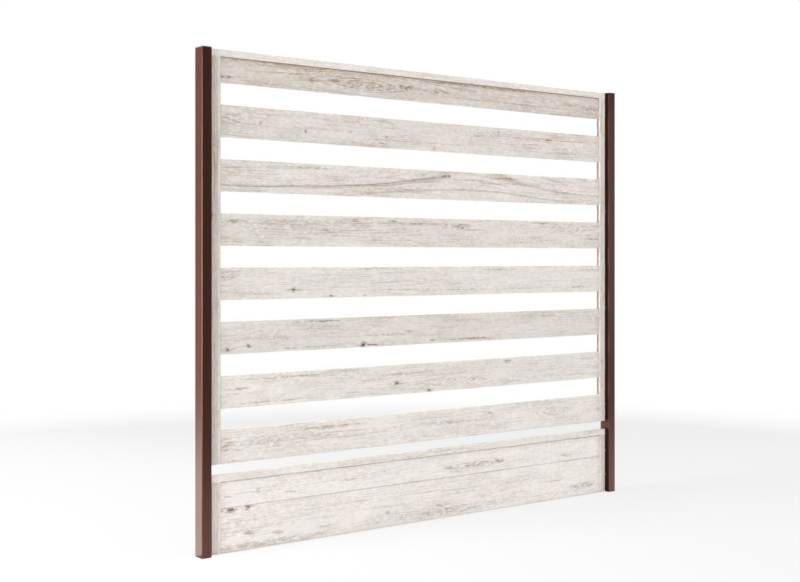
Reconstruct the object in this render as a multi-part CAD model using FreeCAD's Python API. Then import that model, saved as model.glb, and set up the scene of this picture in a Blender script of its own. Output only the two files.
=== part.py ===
import FreeCAD, Part
import os

# Garden privacy screen: two posts carry a slatted upper panel and a closed lower panel.
# X runs along the screen, Y from its front to its back, and Z is up. The origin is the centre
# of the footprint on the ground. All sizes are in millimetres.

# Whole screen
overall_width = 2160.0
ground_clearance = 2.0
panel_gap = 39.0
side_gap = 9.0

# Posts and their caps
post_width = 40.0
post_depth = 55.0
post_wall = 2.0
post_corner_radius = 3.0
cap_flange_height = 3.0
cap_edge_chamfer = 0.8
cap_plug_depth = 15.0
cap_plug_wall = 2.0
cap_fit = 0.2

# Boards: hollow extrusions with ribs between their two faces
board_thickness = 16.0
board_height = 120.0
board_count = 8
board_wall = 1.3
board_rib_count = 2
board_edge_radius = 1.5
slat_gap = 80.0
board_end_clearance = 10.0
lower_panel_height = 290.0
lower_bottom_board_height = 163.5

# Frame channels of both panels
frame_wall = 1.8
frame_fit = 0.2
frame_edge_radius = 0.8
rail_face = 25.0
stile_face = 37.0
bead_from_edge = 9.5
bead_width = 1.2
bead_depth = 0.6
strip_thickness = 2.5

# Spacer and corner blocks inside the channels
spacer_recess = 8.0
spacer_edge_radius = 1.0
block_tongue = 50.0
block_end_fit = 0.3

# Countersunk screws
screw_head_radius = 3.5
screw_shank_radius = 1.7
screw_hole_fit = 0.05
screw_length = 14.0
screw_recess_span = 3.6
screw_recess_width = 0.8
screw_recess_depth = 1.0
board_screw_count = 3

# Bolts, sleeves and rivet nuts between the stiles and the posts
bolt_radius = 2.95
bolt_length = 23.0
bolt_head_radius = 5.25
bolt_head_height = 3.3
bolt_head_chamfer = 1.0
bolt_socket_width = 4.0
bolt_socket_depth = 2.0
bolt_hole_radius = 3.3
bolt_past_block = 25.0
upper_bolt_count = 4
lower_bolt_count = 2
sleeve_radius = 6.0
nut_thread_radius = 3.0
nut_body_radius = 4.5
nut_flange_radius = 6.5
nut_flange_height = 1.0
nut_bulge_radius = 5.5
nut_bulge_height = 3.0
nut_body_length = 13.0
nut_hole_fit = 0.05

# Cutting tools run past the faces that they cut by this much
past = 1.0
# A rounded inner corner keeps at least this radius
least_radius = 0.3

AXIS_X = FreeCAD.Vector(1, 0, 0)
AXIS_Y = FreeCAD.Vector(0, 1, 0)
AXIS_Z = FreeCAD.Vector(0, 0, 1)

# Places worked out from the sizes above. The left half is modelled and the right half mirrors it.
half_width = overall_width / 2
post_inner_x = -half_width + post_width
panel_edge_x = post_inner_x + side_gap
web_inner_x = panel_edge_x + frame_wall
board_end_x = web_inner_x + board_end_clearance
stile_inner_x = panel_edge_x + stile_face
block_inner_x = board_end_x - block_end_fit
block_centre_x = (web_inner_x + block_inner_x) / 2

channel_half_depth = board_thickness / 2 + frame_fit
panel_half_depth = channel_half_depth + frame_wall
screw_cone_height = screw_head_radius - screw_shank_radius - screw_hole_fit

lower_bottom = ground_clearance
lower_top = lower_bottom + lower_panel_height
upper_bottom = lower_top + panel_gap
upper_boards_height = board_count * board_height + (board_count - 1) * slat_gap
upper_top = upper_bottom + strip_thickness + upper_boards_height + frame_wall
post_height = upper_top


def point(x, y, z):
    return FreeCAD.Vector(x, y, z)


def box(x_low, x_high, y_low, y_high, z_low, z_high):
    """A plain box between two corners."""
    return Part.makeBox(x_high - x_low, y_high - y_low, z_high - z_low, point(x_low, y_low, z_low))


def rod(radius, start, axis, length):
    """A cylinder from its start along an axis."""
    return Part.makeCylinder(radius, length, start, axis)


def long_edges(shape, axis):
    """The straight edges of a shape that run along one axis."""
    found = []
    for edge in shape.Edges:
        ends = edge.Vertexes[1].Point - edge.Vertexes[0].Point
        if ends.cross(axis).Length < 1e-6 * ends.Length:
            found.append(edge)
    return found


def rounded(shape, axis, radius):
    """A box with its four edges along one axis rounded."""
    return shape.makeFillet(radius, long_edges(shape, axis))


def mirrored(shape):
    """The same piece on the other side of the screen."""
    return shape.mirror(point(0, 0, 0), AXIS_X)


def both_sides(shapes):
    """A list of left pieces followed by their right twins."""
    return list(shapes) + [mirrored(shape) for shape in shapes]


def spread(first, last, count):
    """Evenly spaced places from first to last."""
    step = (last - first) / max(count - 1, 1)
    return [first + step * index for index in range(count)]


# Posts and caps

def left_post(nut_holes):
    """A rectangular tube, drilled in its inner wall for the rivet nuts."""
    half_depth = post_depth / 2
    outer = box(-half_width, post_inner_x, -half_depth, half_depth, 0, post_height)
    outer = rounded(outer, AXIS_Z, post_corner_radius)
    inner = box(-half_width + post_wall, post_inner_x - post_wall,
                -half_depth + post_wall, half_depth - post_wall, -past, post_height + past)
    inner = rounded(inner, AXIS_Z, max(post_corner_radius - post_wall, least_radius))
    return outer.cut(inner).cut(nut_holes)


def left_cap():
    """A flat cap with a hollow plug that goes down into the tube."""
    half_depth = post_depth / 2
    flange = box(-half_width, post_inner_x, -half_depth, half_depth,
                 post_height, post_height + cap_flange_height)
    flange = rounded(flange, AXIS_Z, post_corner_radius)
    top_edges = flange.Faces[0].Edges
    for face in flange.Faces:
        if face.BoundBox.ZMin > post_height + cap_flange_height / 2:
            top_edges = face.Edges
    flange = flange.makeChamfer(cap_edge_chamfer, top_edges)
    inset = post_wall + cap_fit
    plug_radius = max(post_corner_radius - inset, least_radius)
    plug = box(-half_width + inset, post_inner_x - inset, -half_depth + inset, half_depth - inset,
               post_height - cap_plug_depth, post_height)
    plug = rounded(plug, AXIS_Z, plug_radius)
    inset = inset + cap_plug_wall
    hollow = box(-half_width + inset, post_inner_x - inset, -half_depth + inset, half_depth - inset,
                 post_height - cap_plug_depth - past, post_height)
    return flange.fuse(plug.cut(hollow)).removeSplitter()


# Boards and spacers

def board(bottom, height):
    """A hollow board that reaches into both stiles."""
    half_thickness = board_thickness / 2
    outer = box(board_end_x, -board_end_x, -half_thickness, half_thickness, bottom, bottom + height)
    outer = rounded(outer, AXIS_X, board_edge_radius)
    cell_count = board_rib_count + 1
    cell_height = (height - board_wall * (cell_count + 1)) / cell_count
    cells = []
    for index in range(cell_count):
        cell_bottom = bottom + board_wall + index * (cell_height + board_wall)
        cells.append(box(board_end_x - past, -board_end_x + past,
                         -half_thickness + board_wall, half_thickness - board_wall,
                         cell_bottom, cell_bottom + cell_height))
    return outer.cut(Part.makeCompound(cells))


def upper_board_bottoms():
    """The lower edges of the slats, from the top board down."""
    lowest = upper_bottom + strip_thickness
    pitch = board_height + slat_gap
    return [lowest + pitch * index for index in reversed(range(board_count))]


def left_spacers():
    """Blocks in the stile channel that hold the slats apart."""
    half_thickness = board_thickness / 2
    blocks = []
    for bottom in upper_board_bottoms()[:-1]:
        block = box(board_end_x, stile_inner_x - spacer_recess, -half_thickness, half_thickness,
                    bottom - slat_gap, bottom)
        blocks.append(rounded(block, AXIS_Z, spacer_edge_radius))
    return blocks


# Frame channels

def bead_groove(y_face, bottom, top):
    """A shallow vee along a stile's face, near its inner edge."""
    inward = -bead_depth if y_face > 0 else bead_depth
    centre_x = stile_inner_x - bead_from_edge
    corners = [point(centre_x - bead_width / 2, y_face, bottom),
               point(centre_x + bead_width / 2, y_face, bottom),
               point(centre_x, y_face + inward, bottom)]
    outline = Part.makePolygon(corners + corners[:1])
    return Part.Face(outline).extrude(AXIS_Z * (top - bottom))


def left_stile(panel_bottom, panel_top, voids):
    """An upright channel, open towards the boards, that stands on the strip under the rail."""
    bottom = panel_bottom + strip_thickness
    top = panel_top - rail_face
    outer = box(panel_edge_x, stile_inner_x, -panel_half_depth, panel_half_depth, bottom, top)
    outer = rounded(outer, AXIS_Z, frame_edge_radius)
    channel = box(web_inner_x, stile_inner_x + past, -channel_half_depth, channel_half_depth,
                  bottom - past, top + past)
    grooves = [bead_groove(-panel_half_depth, bottom, top), bead_groove(panel_half_depth, bottom, top)]
    return outer.cut(Part.makeCompound([channel])).cut(Part.makeCompound(grooves)).cut(voids)


def top_rail(panel_top, voids):
    """A channel, open downwards, that runs over the stiles and the top board."""
    bottom = panel_top - rail_face
    outer = box(panel_edge_x, -panel_edge_x, -panel_half_depth, panel_half_depth, bottom, panel_top)
    outer = rounded(outer, AXIS_X, frame_edge_radius)
    channel = box(panel_edge_x - past, -panel_edge_x + past, -channel_half_depth, channel_half_depth,
                  bottom - past, panel_top - frame_wall)
    return outer.cut(channel).cut(voids)


def bottom_strip(panel_bottom, voids):
    """A flat strip that closes a panel from below."""
    strip = box(panel_edge_x, -panel_edge_x, -panel_half_depth, panel_half_depth,
                panel_bottom, panel_bottom + strip_thickness)
    strip = rounded(strip, AXIS_X, frame_edge_radius)
    return strip.cut(voids)


def left_rail_block(panel_top, voids):
    """A block that fills the rail's end and reaches down into the stile."""
    half_thickness = board_thickness / 2
    shoulder = panel_top - rail_face
    head = box(panel_edge_x, block_inner_x, -half_thickness, half_thickness,
               shoulder, panel_top - frame_wall)
    tongue = box(web_inner_x, block_inner_x, -half_thickness, half_thickness,
                 shoulder - block_tongue, shoulder)
    return head.fuse(tongue).removeSplitter().cut(voids)


def left_strip_block(panel_bottom, voids):
    """A block in the foot of a stile that the bottom strip is screwed to."""
    half_thickness = board_thickness / 2
    bottom = panel_bottom + strip_thickness
    block = box(web_inner_x, block_inner_x, -half_thickness, half_thickness,
                bottom, bottom + block_tongue)
    return block.cut(voids)


# Screws

def screw_body(head_centre, inward, shank_radius):
    """A countersunk head that tapers into a shank; a wider shank gives the hole for it."""
    neck_radius = screw_shank_radius + screw_hole_fit
    cone = Part.makeCone(screw_head_radius, neck_radius, screw_cone_height, head_centre, inward)
    shank = rod(shank_radius, head_centre + inward * (screw_cone_height / 2), inward,
                screw_length - screw_cone_height / 2)
    return cone.fuse(shank).removeSplitter()


def cross_recess(head_centre, inward, side):
    """Two crossed slots in a screw's head."""
    slots = []
    across = inward.cross(side)
    for along, over in ((side, across), (across, side)):
        start = head_centre - along * (screw_recess_span / 2) - over * (screw_recess_width / 2)
        end = head_centre + along * (screw_recess_span / 2) + over * (screw_recess_width / 2)
        end = end + inward * screw_recess_depth
        slots.append(box(min(start.x, end.x), max(start.x, end.x), min(start.y, end.y),
                         max(start.y, end.y), min(start.z, end.z), max(start.z, end.z)))
    return slots[0].fuse(slots[1])


def screws_at(centres, inward, side):
    """Screws with their heads at the given centres."""
    screws = []
    for centre in centres:
        body = screw_body(centre, inward, screw_shank_radius)
        screws.append(body.cut(cross_recess(centre, inward, side)))
    return screws


def screw_voids(centres, inward):
    """The countersunk holes for those screws."""
    return [screw_body(centre, inward, screw_shank_radius + screw_hole_fit) for centre in centres]


def back_screw_centres(panel_bottom, panel_top):
    """Heads on the back face, over the corner blocks on both sides."""
    heights = [panel_top - rail_face / 2,
               panel_top - rail_face - block_tongue / 2,
               panel_bottom + strip_thickness + block_tongue / 2]
    centres = []
    for x in (block_centre_x, -block_centre_x):
        for z in heights:
            centres.append(point(x, panel_half_depth, z))
    return centres


def strip_screw_centres(panel_bottom):
    """Heads under the strip, at both corner blocks and along the lowest board."""
    span = 2 * board_end_x / (board_screw_count + 1)
    places = [block_centre_x, -block_centre_x]
    for index in range(board_screw_count):
        places.append(board_end_x - span * (index + 1))
    return [point(x, 0, panel_bottom) for x in places]


# Bolts, sleeves and rivet nuts

def bolt_heights(panel_bottom, panel_top, count):
    """Bolt rows that keep clear of the corner blocks."""
    reach = block_tongue + bolt_past_block
    return spread(panel_bottom + strip_thickness + reach, panel_top - rail_face - reach, count)


def left_bolt(z):
    """A button-head bolt whose head sits inside the stile channel."""
    head = rod(bolt_head_radius, point(web_inner_x, 0, z), AXIS_X, bolt_head_height)
    rims = []
    for edge in head.Edges:
        if edge.BoundBox.XMin > web_inner_x + bolt_head_height / 2 and edge.Closed:
            rims.append(edge)
    head = head.makeChamfer(bolt_head_chamfer, rims)
    shank = rod(bolt_radius, point(web_inner_x, 0, z), AXIS_X * -1, bolt_length)
    half_socket = bolt_socket_width / 2
    socket = box(web_inner_x + bolt_head_height - bolt_socket_depth, web_inner_x + bolt_head_height + past,
                 -half_socket, half_socket, z - half_socket, z + half_socket)
    return head.fuse(shank).removeSplitter().cut(socket)


def left_sleeve(z):
    """A tube that holds the stile off the rivet nut's flange."""
    start = point(post_inner_x + nut_flange_height, 0, z)
    length = side_gap - nut_flange_height
    return rod(sleeve_radius, start, AXIS_X, length).cut(rod(bolt_hole_radius, start, AXIS_X, length))


def left_nut(z):
    """A blind rivet nut: a flange outside the post's wall and a crimped bulge behind it."""
    flange = rod(nut_flange_radius, point(post_inner_x, 0, z), AXIS_X, nut_flange_height)
    body = rod(nut_body_radius, point(post_inner_x, 0, z), AXIS_X * -1, nut_body_length)
    bulge = rod(nut_bulge_radius, point(post_inner_x - post_wall, 0, z), AXIS_X * -1, nut_bulge_height)
    thread = rod(nut_thread_radius, point(post_inner_x + nut_flange_height + past, 0, z), AXIS_X * -1,
                 nut_body_length + nut_flange_height + 2 * past)
    return flange.fuse([body, bulge]).removeSplitter().cut(thread)


def left_nut_hole(z):
    """The hole that a rivet nut needs in the post's inner wall."""
    start = point(post_inner_x + past, 0, z)
    return rod(nut_body_radius + nut_hole_fit, start, AXIS_X * -1, post_wall + 2 * past)


def left_web_hole(z):
    """The hole that a bolt needs in the stile's web."""
    start = point(panel_edge_x - past, 0, z)
    return rod(bolt_hole_radius, start, AXIS_X, frame_wall + 2 * past)


def panel_voids(panel_bottom, panel_top):
    """All screw holes of one panel, as one cutting tool."""
    back = screw_voids(back_screw_centres(panel_bottom, panel_top), AXIS_Y * -1)
    below = screw_voids(strip_screw_centres(panel_bottom), AXIS_Z)
    return Part.makeCompound(back + below)


def build():
    """All nodes of the screen, by name."""
    nodes = {}
    panels = {"lower": (lower_bottom, lower_top, lower_bolt_count),
              "upper": (upper_bottom, upper_top, upper_bolt_count)}
    all_heights = []
    rail_blocks = []
    strip_blocks = []
    back_screws = []
    strip_screws = []
    for panel, (bottom, top, count) in panels.items():
        heights = bolt_heights(bottom, top, count)
        all_heights += heights
        screw_holes = panel_voids(bottom, top)
        stile = left_stile(bottom, top, screw_holes)
        stile = stile.cut(Part.makeCompound([left_web_hole(z) for z in heights]))
        nodes[panel + "_top_rail"] = top_rail(top, screw_holes)
        nodes[panel + "_left_stile"] = stile
        nodes[panel + "_right_stile"] = mirrored(stile)
        nodes[panel + "_bottom_strip"] = bottom_strip(bottom, screw_holes)
        rail_blocks.append(left_rail_block(top, screw_holes))
        strip_blocks.append(left_strip_block(bottom, screw_holes))
        back_screws += screws_at(back_screw_centres(bottom, top), AXIS_Y * -1, AXIS_X)
        strip_screws += screws_at(strip_screw_centres(bottom), AXIS_Z, AXIS_X)
        if panel == "lower":
            seat = bottom + strip_thickness
            seam = seat + lower_bottom_board_height
            nodes["lower_board_1"] = board(seam, top - frame_wall - seam)
            nodes["lower_board_2"] = board(seat, lower_bottom_board_height).cut(screw_holes)
        else:
            for number, board_bottom in enumerate(upper_board_bottoms(), 1):
                slat = board(board_bottom, board_height)
                if number == board_count:
                    slat = slat.cut(screw_holes)
                nodes["upper_board_%d" % number] = slat

    post = left_post(Part.makeCompound([left_nut_hole(z) for z in all_heights]))
    cap = left_cap()
    spacers = left_spacers()
    nodes["left_post"] = post
    nodes["right_post"] = mirrored(post)
    nodes["left_post_cap"] = cap
    nodes["right_post_cap"] = mirrored(cap)
    nodes["left_board_spacers"] = Part.makeCompound(spacers)
    nodes["right_board_spacers"] = Part.makeCompound([mirrored(block) for block in spacers])
    nodes["rail_corner_blocks"] = Part.makeCompound(both_sides(rail_blocks))
    nodes["strip_corner_blocks"] = Part.makeCompound(both_sides(strip_blocks))
    nodes["frame_screws"] = Part.makeCompound(back_screws)
    nodes["strip_screws"] = Part.makeCompound(strip_screws)
    nodes["post_bolts"] = Part.makeCompound(both_sides([left_bolt(z) for z in all_heights]))
    nodes["spacer_sleeves"] = Part.makeCompound(both_sides([left_sleeve(z) for z in all_heights]))
    nodes["rivet_nuts"] = Part.makeCompound(both_sides([left_nut(z) for z in all_heights]))
    return nodes


os.makedirs("parts", exist_ok=True)
for name, shape in build().items():
    shape.exportStep("parts/%s.step" % name)
    print("%-22s %2d solids, %9.1f cm3" % (name, len(shape.Solids), shape.Volume / 1000))
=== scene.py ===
"""Looks of a slatted garden privacy screen: washed oak boards and frames between two brown posts."""

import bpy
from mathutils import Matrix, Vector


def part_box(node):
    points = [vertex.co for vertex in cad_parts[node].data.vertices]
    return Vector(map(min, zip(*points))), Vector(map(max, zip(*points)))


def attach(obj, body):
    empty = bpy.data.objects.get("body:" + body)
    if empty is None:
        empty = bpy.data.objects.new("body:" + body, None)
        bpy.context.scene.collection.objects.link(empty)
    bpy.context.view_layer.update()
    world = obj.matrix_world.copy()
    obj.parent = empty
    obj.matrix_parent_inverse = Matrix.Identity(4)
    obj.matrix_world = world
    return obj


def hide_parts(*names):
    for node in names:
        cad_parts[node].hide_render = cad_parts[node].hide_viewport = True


bl_info = {
    "name": "Garden privacy screen",
    "version": (1, 0, 0),
    "blender": (4, 5, 0),
    "location": "View3D > Sidebar > Screen",
    "description": "Dresses the screen's boards, frames, posts and fasteners, and sets its stage",
    "category": "Object",
}

import math
from collections import namedtuple

import bmesh
import bpy
from mathutils import Vector

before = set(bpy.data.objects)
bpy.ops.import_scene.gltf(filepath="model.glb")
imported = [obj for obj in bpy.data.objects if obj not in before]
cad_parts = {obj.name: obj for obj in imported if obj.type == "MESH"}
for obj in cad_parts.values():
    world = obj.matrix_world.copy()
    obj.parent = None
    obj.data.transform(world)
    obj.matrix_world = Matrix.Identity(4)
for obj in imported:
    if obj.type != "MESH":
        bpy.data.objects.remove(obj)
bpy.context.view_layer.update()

MM = 0.001
BODY = "root"
# A mark at least this dark is drawn as a knot
KNOT_DARK = 0.82
# Length over which a growth line fades out at its ends
VEIN_FADE = 0.06
# How the oak's wash and streaks turn cooler, pinker and greyer from patch to patch
COOL_WASH = (0.965, 0.985, 1.010, 1.0)
PINK_WASH = (1.0, 0.985, 0.996, 1.0)
GREY_STREAK = (0.26, 0.235, 0.20, 1.0)
# Spacing of the growth rings in the boards' figures
RING_SPACING = 0.0074
# How much stain each layer of the grain brings, from the pale wash at 0 to the streaks' colour at 1
BARE_STAIN = 0.10
STREAK_STAIN = 0.34
RING_STAIN = 0.66
CURL_STAIN = 0.22
FIBRE_STAIN = 0.70
PORE_STAIN = 0.12
CLOUD_STAIN = 0.28
MARK_STAIN = 0.75
# How much darker than the boards the frame's members are, where 1 is the streaks' own colour
# The left stiles are darker than the right ones partly as painted shade from the left post
STILE_TONE = {"left": 0.33, "right": 0.22}
RAIL_TONE = 0.03
STRIP_TONE = 0.0
# Seeds of the frame's grain. A panel's number is added, and the half keeps the stiles of one panel apart.
STILE_SEED = {"left": 20.0, "right": 20.5}
RAIL_SEED = 24.0
STRIP_SEED = 27.0
# Depth of the texture on moulded plastic, and of the drawn grain on steel
PLASTIC_GRAIN = 0.00006
STEEL_GRAIN = 0.00002
# Points closer than this are merged
WELD = 0.00001
# Rows of points in one turn of a thread
THREAD_ROWS = 8
# Seed of the random spin of each screw and bolt
SPIN_SEED = 4
# Edges that bend by more than this many degrees stay sharp
SHARP_ANGLE = 30

# The floor's grey for the light that it sends up, and for what is seen of it
FLOOR_BOUNCE = (0.66, 0.66, 0.66, 1.0)
FLOOR_SEEN = (0.60, 0.60, 0.60, 1.0)
WHITE = (1.0, 1.0, 1.0, 1.0)
FLOOR_RADIUS = 60.0
# How far the mirrored glows lie over the floor
GLOW_RISE = 0.001
# Where the lamps aim, and where two of them stand, in front on the left
SCREEN_MIDDLE = (0.0, 0.0, 0.9)
LEFT_FRONT = (-4.2, -1.7, 1.1)

UPPER_BOARDS = ["upper_board_%d" % number for number in range(1, 9)]
LOWER_BOARDS = ["lower_board_1", "lower_board_2"]
POSTS = ["left_post", "right_post"]
PANELS = ["upper", "lower"]
# The rail over each topmost board and how dark the painted shadow under it is
RAIL_SHADE = {"upper_board_1": ("upper_top_rail", 0.62), "lower_board_1": ("lower_top_rail", 0.52)}
# Boards that touch a neighbour at their lower (0) or upper (1) edge, and how dark that joint is
BOARD_JOINT = {"lower_board_1": 0, "lower_board_2": 1}
JOINT_DARK = 0.42

# A mark or knot: its distance from the screen's middle and its height over the board's lower edge, half
# its length and half its height, in millimetres, and how dark it is.
Mark = namedtuple("Mark", "x h length height dark")
# The heart that a board's rings lie round: its place, and its reach along and across the grain, in
# millimetres. The rings close round it as ovals or, with a waist, draw in towards it and spread again.
Figure = namedtuple("Figure", "x h reach depth waist")
# A dark ring: its distance from the heart, its width, where it starts and ends, and how dark it is
Vein = namedtuple("Vein", "distance width left right dark")
# A board's oak: its seed, how much darker it is than the wash, how strong its rings are, and what lies on it
Grain = namedtuple("Grain", "seed tone line figure veins marks")
# The painted shadow line under a rail: its height over the board's lower edge, and how dark it is
Seam = namedtuple("Seam", "height dark")

BOARD_GRAIN = {
    "upper_board_1": Grain(1.3, 0.26, 0.75, Figure(-345, 48, 265, 40, False), [], [
        Mark(-345, 49, 150, 20, 0.14), Mark(-640, 60, 60, 5, 0.24), Mark(-487, 50, 30, 7, 0.45),
        Mark(-615, 45, 55, 10, 0.32), Mark(-128, 54, 60, 9, 0.38), Mark(-974, 23, 34, 6, 0.42),
        Mark(30, 47, 70, 12, 0.22), Mark(520, 30, 300, 4, 0.20), Mark(300, 88, 300, 5, 0.30)]),
    "upper_board_2": Grain(2.7, 0.12, 0.55, Figure(150, 150, 700, 70, True), [], [
        Mark(660, 84, 30, 5.5, 0.68), Mark(795, 84, 120, 2.2, 0.36), Mark(-827, 63, 9, 6, 0.42),
        Mark(-622, 43, 8, 6, 0.40), Mark(-417, 54, 9, 7, 0.45), Mark(-231, 43, 12, 6, 0.48),
        Mark(-263, 17, 34, 3.6, 0.42), Mark(13, 14, 9, 9, 0.42), Mark(372, 96, 2.6, 15, 0.52),
        Mark(231, 77, 60, 5, 0.34), Mark(-950, 70, 50, 26, 0.24), Mark(340, 82, 60, 4, 0.26)]),
    "upper_board_3": Grain(3.1, 0.05, 0.60, Figure(218, 125, 600, 115, True), [
        Vein(115, 5.2, -1020, 110, 0.50), Vein(120, 3.0, -700, 60, 0.30),
        Vein(112, 4.4, 300, 1020, 0.36), Vein(141, 3.4, -380, 900, 0.36)], [
        Mark(83, 97, 26, 7, 0.66), Mark(-600, 104, 120, 5, 0.30), Mark(-930, 84, 70, 18, 0.20),
        Mark(430, 101, 70, 6, 0.34)]),
    "upper_board_4": Grain(4.9, 0.07, 0.50, Figure(769, 92, 120, 34, False), [], [
        Mark(-385, 105, 17, 7, 0.55), Mark(-205, 105, 24, 6, 0.50), Mark(154, 88, 62, 13, 0.46),
        Mark(215, 75, 85, 3, 0.42), Mark(625, 109, 85, 3, 0.58), Mark(949, 42, 55, 1.6, 0.62),
        Mark(923, 83, 55, 3.2, 0.36), Mark(-744, 83, 250, 26, 0.17), Mark(-936, 92, 55, 9, 0.42),
        Mark(-526, 62, 45, 10, 0.30), Mark(-20, 96, 150, 6, 0.30)]),
    "upper_board_5": Grain(5.2, 0.00, 0.40, Figure(-200, 190, 800, 90, True), [], [
        Mark(-282, 112, 140, 4, 0.38), Mark(346, 106, 100, 4, 0.30), Mark(-677, 34, 9, 6.5, 1.0),
        Mark(-503, 8, 7, 4.5, 0.92), Mark(-814, 22, 95, 3, 0.44), Mark(-872, 28, 24, 4, 0.60),
        Mark(-230, 28, 34, 3, 0.48), Mark(-340, 8, 13, 4, 0.50), Mark(350, 23, 640, 1.6, 0.27),
        Mark(846, 23, 50, 4, 0.34), Mark(-960, 90, 34, 20, 0.28)]),
    "upper_board_6": Grain(6.4, 0.11, 0.48, Figure(474, -20, 420, 60, True), [], [
        Mark(-526, 110, 55, 1.6, 0.90), Mark(-349, 10, 12, 8.5, 1.1), Mark(-878, 27, 6, 5, 0.95),
        Mark(-964, 19, 8, 4.5, 0.85), Mark(-923, 23, 26, 2.4, 0.60), Mark(-705, 47, 5, 6, 0.55),
        Mark(-628, 12, 130, 2.6, 0.58), Mark(0, 14, 17, 3, 0.66), Mark(218, 13, 135, 4.5, 0.56),
        Mark(-218, 46, 150, 6, 0.26), Mark(-115, 54, 34, 8, 0.28), Mark(-308, 8, 60, 3, 0.60)]),
    "upper_board_7": Grain(7.8, 0.01, 0.55, Figure(179, 39, 130, 30, False), [], [
        Mark(-183, 46, 12, 6, 0.88), Mark(-15, 9, 9, 6, 0.98), Mark(417, 106, 30, 7, 0.66),
        Mark(538, 89, 105, 4, 0.40), Mark(-740, 104, 200, 4, 0.34), Mark(-936, 70, 60, 6, 0.48),
        Mark(-756, 15, 170, 3, 0.38), Mark(-150, 82, 130, 6, 0.32), Mark(-300, 66, 90, 4, 0.34)]),
    "upper_board_8": Grain(8.5, -0.01, 0.55, Figure(718, 65, 120, 34, False), [], [
        Mark(-494, 97, 165, 7, 0.44), Mark(320, 88, 32, 8, 0.46), Mark(-960, 5, 55, 1.6, 0.60),
        Mark(-974, 66, 34, 28, 0.28), Mark(-724, 66, 210, 22, 0.13), Mark(180, 62, 150, 5, 0.22)]),
    "lower_board_1": Grain(9.1, -0.06, 0.30, Figure(231, 39, 300, 26, False), [], [
        Mark(-974, 41, 24, 3.2, 0.50), Mark(-833, 52, 12, 9, 0.30), Mark(-692, 30, 34, 4, 0.38),
        Mark(-404, 45, 62, 3, 0.34), Mark(231, 39, 140, 12, 0.24), Mark(372, 43, 34, 11, 0.36),
        Mark(776, 24, 34, 4, 0.34)]),
    "lower_board_2": Grain(10.6, -0.04, 0.50, Figure(330, -60, 600, 110, True), [], [
        Mark(-951, 155, 20, 8, 0.92), Mark(-878, 157, 10, 7, 0.85), Mark(-872, 59, 24, 10, 0.44),
        Mark(-744, 46, 34, 8, 0.40), Mark(60, 51, 46, 4, 0.74), Mark(-231, 53, 13, 8, 0.48),
        Mark(-538, 40, 24, 5, 0.42), Mark(-800, 14, 300, 11, 0.34), Mark(90, 24, 350, 18, 0.26),
        Mark(692, 81, 62, 4, 0.44), Mark(885, 40, 105, 14, 0.32), Mark(282, 66, 75, 12, 0.22)]),
}


# Node trees

class Flow:
    """A socket of a node tree. Arithmetic on it adds Math nodes to the tree."""

    def __init__(self, net, socket):
        self.net = net
        self.socket = socket

    def __add__(self, other):
        return self.net.math("ADD", self, other)

    def __sub__(self, other):
        return self.net.math("SUBTRACT", self, other)

    def __rsub__(self, other):
        return self.net.math("SUBTRACT", other, self)

    def __mul__(self, other):
        return self.net.math("MULTIPLY", self, other)

    def __truediv__(self, other):
        return self.net.math("DIVIDE", self, other)

    def __rtruediv__(self, other):
        return self.net.math("DIVIDE", other, self)


class Net:
    """Short calls that add nodes to a shader or geometry tree."""

    def __init__(self, tree):
        self.tree = tree

    def put(self, value, socket):
        """Links a flow to a socket, or sets the socket's value."""
        if isinstance(value, Flow):
            self.tree.links.new(value.socket, socket)
        else:
            socket.default_value = value

    def node(self, kind, inputs=None, **settings):
        made = self.tree.nodes.new(kind)
        for name, value in settings.items():
            setattr(made, name, value)
        for key, value in (inputs or {}).items():
            self.put(value, made.inputs[key])
        return made

    def out(self, kind, inputs=None, output=0, **settings):
        """Adds a node and returns one of its outputs as a flow."""
        return Flow(self, self.node(kind, inputs, **settings).outputs[output])

    def math(self, operation, *values, clamp=False):
        inputs = dict(enumerate(values))
        return self.out("ShaderNodeMath", inputs, operation=operation, use_clamp=clamp)

    def vector_math(self, operation, *values, output=0):
        return self.out("ShaderNodeVectorMath", dict(enumerate(values)), output, operation=operation)

    def vector(self, x, y, z):
        return self.out("ShaderNodeCombineXYZ", {"X": x, "Y": y, "Z": z})

    def parts(self, vector):
        """The three numbers of a vector."""
        made = self.node("ShaderNodeSeparateXYZ", {0: vector})
        return [Flow(self, socket) for socket in made.outputs]

    def noise(self, place, spot, detail=2.0, roughness=0.5, seed=0.0):
        """Smooth noise from 0 to 1 whose spots measure about (x, y, z) metres."""
        scaled = self.vector_math("MULTIPLY", place, [1 / size for size in spot])
        return self.out("ShaderNodeTexNoise",
                        {"Vector": scaled, "W": seed, "Scale": 1.0, "Detail": detail,
                         "Roughness": roughness}, noise_dimensions="4D")

    def ramp(self, value, low, high, to_low=0.0, to_high=1.0):
        """A value that goes smoothly from one level to another between low and high."""
        return self.out("ShaderNodeMapRange",
                        {"Value": value, "From Min": low, "From Max": high,
                         "To Min": to_low, "To Max": to_high}, interpolation_type="SMOOTHSTEP")

    def mix(self, factor, first, second, blend="MIX"):
        """A colour between two colours."""
        made = self.node("ShaderNodeMix", data_type="RGBA", blend_type=blend, clamp_factor=True)
        self.put(factor, made.inputs["Factor"])
        self.put(first, made.inputs[6])
        self.put(second, made.inputs[7])
        return Flow(self, made.outputs[2])


def once(stock, name, make, *details):
    """What Blender already holds under a name, or else what is made now."""
    return stock.get(name) or make(*details)


SOCKET_KINDS = {"float": "NodeSocketFloat", "int": "NodeSocketInt", "vector": "NodeSocketVector",
                "colour": "NodeSocketColor", "material": "NodeSocketMaterial",
                "mesh": "NodeSocketGeometry"}


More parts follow.
